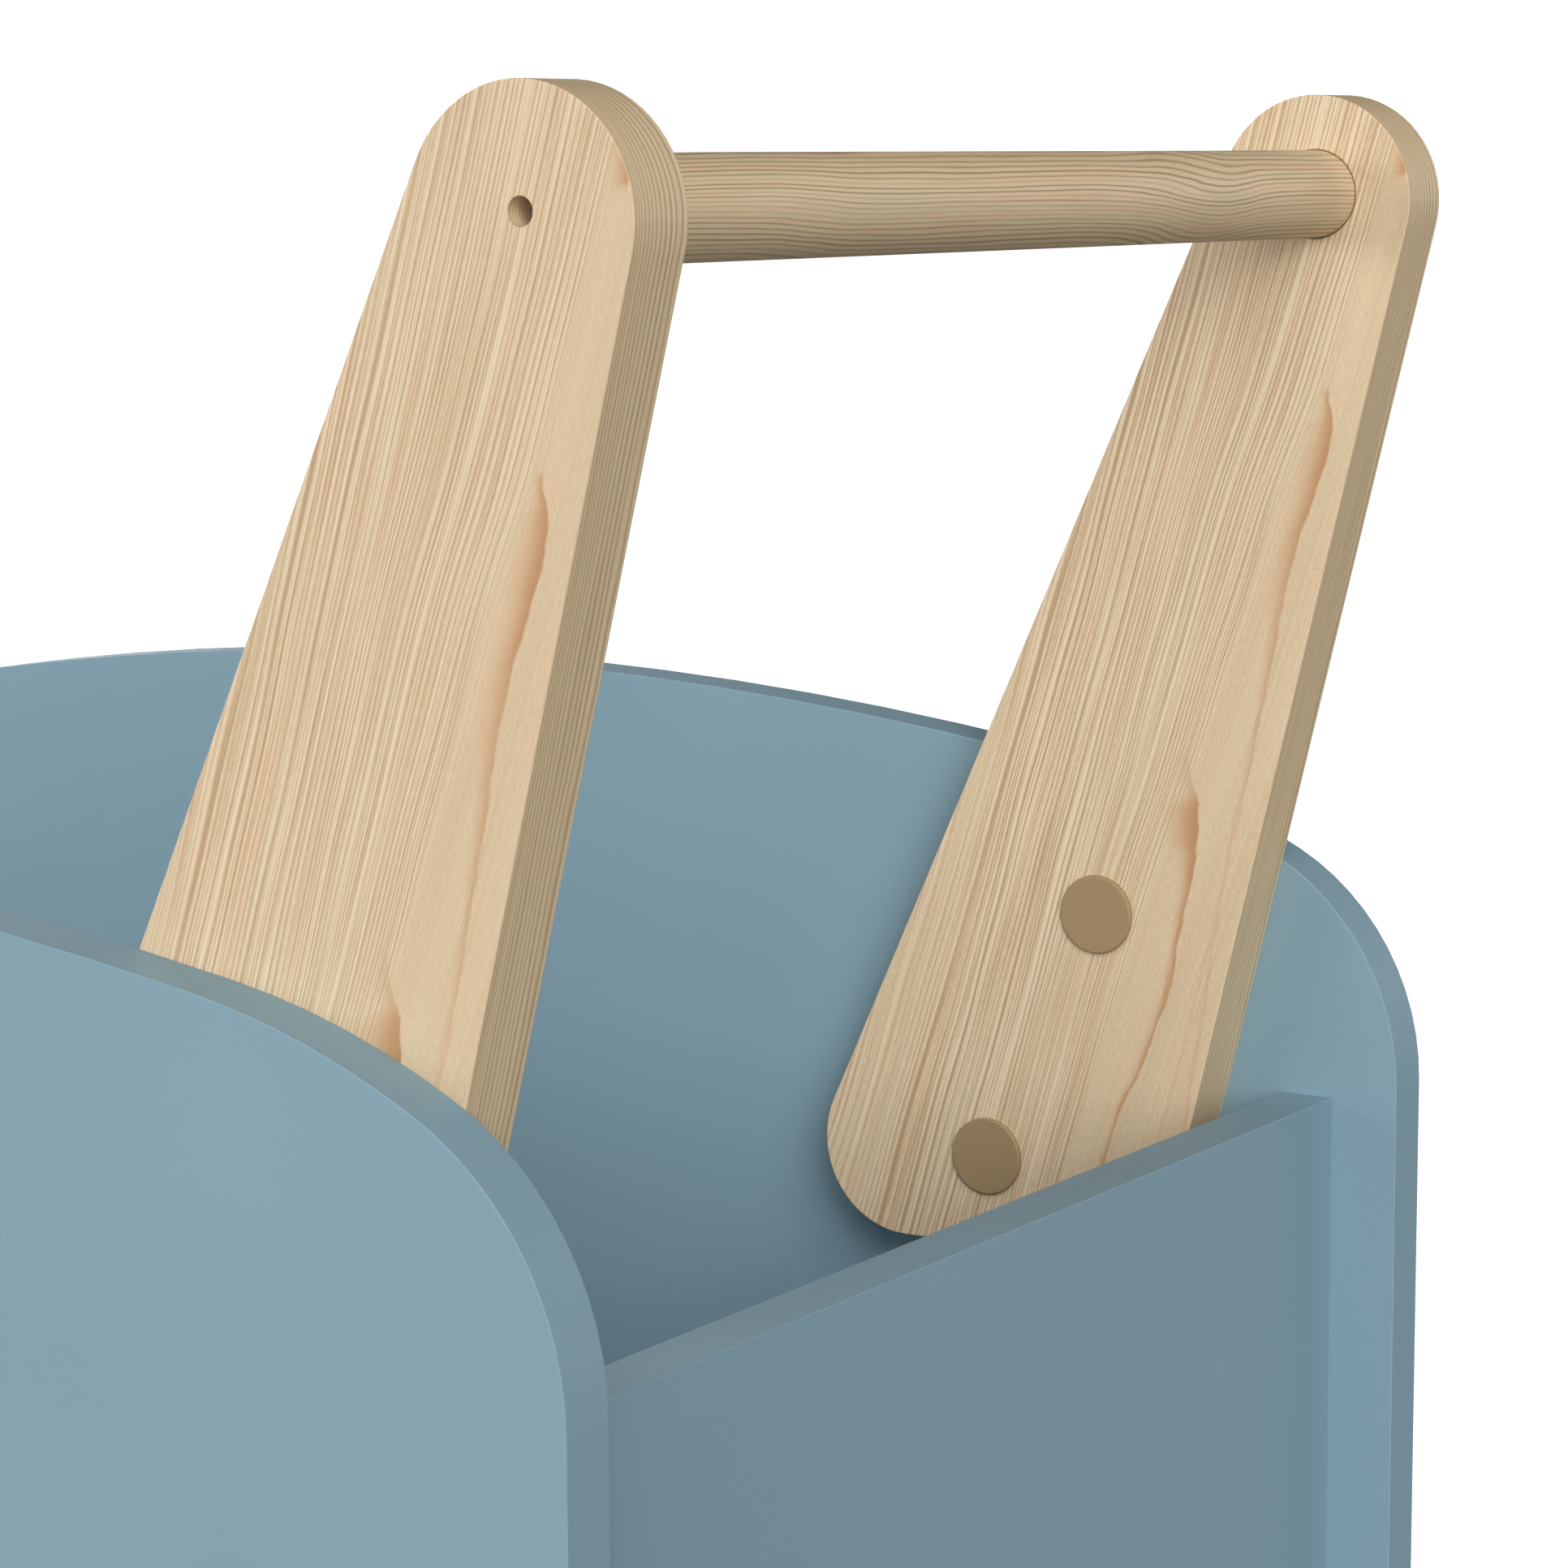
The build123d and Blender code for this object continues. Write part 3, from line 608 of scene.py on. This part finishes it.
# Polypropylene caps, moulded: satin brown, close to the wood
cap_plastic = moulded(
    "polypropylene_moulded_brown", dark="#A48A63", light="#A88E67", roughness=0.5, grit_mm=0.5,
    depth_mm=0.01,
)
# Polyamide wheel centres, moulded: satin pale grey
wheel_plastic = moulded(
    "polyamide_moulded_grey", dark="#C6C6C3", light="#CDCDCA", roughness=0.45, grit_mm=0.6,
    depth_mm=0.01,
)
# Rubber tyres, moulded: dull mid grey, with the coarsest grit
tyre_rubber = moulded(
    "rubber_moulded_grey", dark="#68696A", light="#737476", roughness=0.75, grit_mm=0.4,
    depth_mm=0.02,
)
# Zinc-plated steel: bright and slightly cloudy
plated_steel = metal(
    "steel_zinc_plated", dark="#C8CACD", light="#D2D3D6", low=0.28, high=0.42, patch_mm=6.0
)
# Ground and polished steel balls: near-mirror bright
ball_steel = metal(
    "steel_ground_polished", dark="#CDCDCE", light="#D5D5D6", low=0.1, high=0.16, patch_mm=3.0
)
# Die-cast zinc: duller and greyer, mottled by the casting
cast_zinc = metal(
    "zinc_die_cast", dark="#AEB0B2", light="#B6B8BA", low=0.42, high=0.55, patch_mm=1.5
)

PLACES = ("handle_front", "handle_rear", "far_front", "far_rear")
STEEL_CASTOR_PARTS = ("plate", "kingpin", "fork", "axle_bolt", "axle_nut", "sleeve")

dress(
    paint, "front_side_panel", "rear_side_panel", "handle_end_board", "far_end_board",
    "base_board",
)
dress(front_pine, "front_upright")
dress(rear_pine, "rear_upright")
dress(bar_pine, "handle_bar")
dress(peg_beech, "wooden_pegs")
dress(cap_plastic, "front_bolt_caps", "rear_bolt_caps")
dress(cast_zinc, "cam_locks")
dress(
    plated_steel, "handle_bar_screws", "upright_bolts", "threaded_inserts", "cam_bolts",
    "castor_screws",
)
for where in PLACES:
    dress(plated_steel, *(f"{where}_castor_{part}" for part in STEEL_CASTOR_PARTS))
    dress(ball_steel, f"{where}_castor_balls")
    dress(wheel_plastic, f"{where}_castor_wheel")
    dress(tyre_rubber, f"{where}_castor_tyre")


# Half of the tyre's outline, from the wheel centre to the mould line: place across as a share of
# the half width, and distance in mm inside the largest radius
TYRE_HALF_OUTLINE = (
    (1.0, 7.95), (1.0, 4.9), (0.975, 3.5), (0.92, 2.3), (0.82, 1.3), (0.66, 0.65), (0.4, 0.3),
    (0.05, 0.2), (0.03, 0.0),
)
TYRE_STEPS = 128
TYRE_SHARP = math.radians(50)   # edges that turn by more than this stay sharp


def moulded_tyre(where):
    """A soft tyre, spun round its axle: crowned tread, round shoulders and a fine mould line."""
    low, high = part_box(f"{where}_castor_tyre")
    middle = (low + high) / 2
    radius = (high.z - low.z) / 2
    half_width = (high.y - low.y) / 2
    outline = list(TYRE_HALF_OUTLINE)
    outline += [(-share, inset) for share, inset in reversed(TYRE_HALF_OUTLINE)]
    bm = bmesh.new()
    corners = [
        bm.verts.new((middle.x, middle.y + share * half_width, middle.z - radius + inset * MM))
        for share, inset in outline
    ]
    edges = [bm.edges.new((a, b)) for a, b in zip(corners, corners[1:] + corners[:1])]
    bmesh.ops.spin(
        bm, geom=corners + edges, cent=middle, axis=(0, 1, 0), angle=math.tau,
        steps=TYRE_STEPS, use_merge=True,
    )
    bmesh.ops.remove_doubles(bm, verts=bm.verts, dist=0.001 * MM)
    bmesh.ops.recalc_face_normals(bm, faces=bm.faces)
    mesh = bpy.data.meshes.new(f"{where}_moulded_tyre")
    bm.to_mesh(mesh)
    bm.free()
    mesh.materials.append(tyre_rubber)
    mesh.shade_smooth()
    mesh.set_sharp_from_angle(angle=TYRE_SHARP)
    piece = bpy.data.objects.new(f"{where}_moulded_tyre", mesh)
    bpy.context.scene.collection.objects.link(piece)
    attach(piece, f"{where}_wheel_body")
    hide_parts(f"{where}_castor_tyre")


for where in PLACES:
    moulded_tyre(where)


# Floor, light and camera

FLOOR_REACH = 40.0              # from the floor's middle to its sides, in metres
FLOOR_DIM = (0.3, 0.3, 0.3, 1.0)        # what the floor throws back onto the cart
FLOOR_PALE = (0.85, 0.85, 0.85, 1.0)    # what the camera sees of it
FLOOR_GLOW = 0.62


def floor():
    """A plain pale floor. The camera sees it lighter than it lights the cart."""
    bm = bmesh.new()
    bmesh.ops.create_grid(bm, x_segments=1, y_segments=1, size=FLOOR_REACH)
    mesh = bpy.data.meshes.new("floor")
    bm.to_mesh(mesh)
    bm.free()
    piece = bpy.data.objects.new("floor", mesh)
    bpy.context.scene.collection.objects.link(piece)
    material = bpy.data.materials.new("studio_floor_painted_white")
    material.use_nodes = True
    tree = material.node_tree
    tree.nodes.remove(tree.nodes["Principled BSDF"])
    dim = add(tree, "BsdfDiffuse", FLOOR_DIM)
    pale = add(tree, "BsdfDiffuse", FLOOR_PALE)
    glow = add(tree, "Emission", WHITE, FLOOR_GLOW)
    shown = add(tree, "AddShader", pale, glow)
    seen = add(tree, "LightPath", out="Is Camera Ray")
    above = add(tree, "MixShader", seen, dim, shown)
    # From below, the floor is clear, so that the underside can be looked at.
    behind = add(tree, "NewGeometry", out="Backfacing")
    whole = add(tree, "MixShader", behind, above, add(tree, "BsdfTransparent"))
    tree.links.new(whole, tree.nodes["Material Output"].inputs["Surface"])
    mesh.materials.append(material)


# The lamps: name, compass place from the front panel's side towards the handle end and height
# above the floor, both in degrees, and strength.
LAMPS = (
    ("key", 45, 28, 0.435),
    ("high_front", 15, 48, 0.167),
    ("low_handle_end", 45, 8, 0.329),
    ("low_front", 15, 8, 0.113),
    ("low_far_end", -45, 8, 0.321),
    ("rear_far_end", -120, 8, 1.035),
    ("rear_handle_end", 150, 8, 0.122),
)
LAMP_WIDTH = 30.0         # how wide each lamp looks from the cart, in degrees
ROOM_LIGHT = 0.04         # what the white room adds to the lamps
BACKDROP_LIGHT = 1.2      # how bright the camera sees it


def studio_light():
    """Soft lamps all round, on a white backdrop, with next to no light from the room."""
    world = bpy.data.worlds.new("studio")
    bpy.context.scene.world = world
    world.use_nodes = True
    tree = world.node_tree
    around = add(tree, "Background", WHITE, ROOM_LIGHT)
    backdrop = add(tree, "Background", WHITE, BACKDROP_LIGHT)
    seen = add(tree, "LightPath", out="Is Camera Ray")
    both = add(tree, "MixShader", seen, around, backdrop)
    tree.links.new(both, tree.nodes["World Output"].inputs["Surface"])
    for name, compass, rise, strength in LAMPS:
        lamp = bpy.data.lights.new(name, "SUN")
        lamp.energy = strength * math.pi
        lamp.angle = math.radians(LAMP_WIDTH)
        holder = bpy.data.objects.new(name, lamp)
        bpy.context.scene.collection.objects.link(holder)
        turn, climb = math.radians(compass), math.radians(rise)
        source = Vector((
            math.sin(turn) * math.cos(climb), -math.cos(turn) * math.cos(climb), math.sin(climb)
        ))
        holder.rotation_euler = (-source).to_track_quat("-Z", "Y").to_euler()


SENSOR = 36.0             # in mm, as the lens is
LENS = 102.262
CAMERA_PLACE = (0.844818, -0.949382, 0.574788)
CAMERA_TURN = 32.356      # to the left of straight at the front panel, in degrees
CAMERA_DOWN = 8.061       # below level
CAMERA_ROLL = -0.195


def camera():
    """The photograph's view, from a long lens in front of the handle end."""
    view = bpy.data.cameras.new("camera")
    view.sensor_width = SENSOR
    view.lens = LENS
    holder = bpy.data.objects.new("camera", view)
    bpy.context.scene.collection.objects.link(holder)
    turn = Matrix.Rotation(math.radians(CAMERA_TURN), 4, "Z")
    tilt = Matrix.Rotation(math.radians(90 - CAMERA_DOWN), 4, "X")
    roll = Matrix.Rotation(math.radians(CAMERA_ROLL), 4, "Z")
    holder.matrix_world = Matrix.Translation(CAMERA_PLACE) @ turn @ tilt @ roll
    bpy.context.scene.camera = holder


floor()
studio_light()
camera()
bpy.context.scene.view_settings.view_transform = "Standard"
bpy.context.scene.view_settings.look = "None"
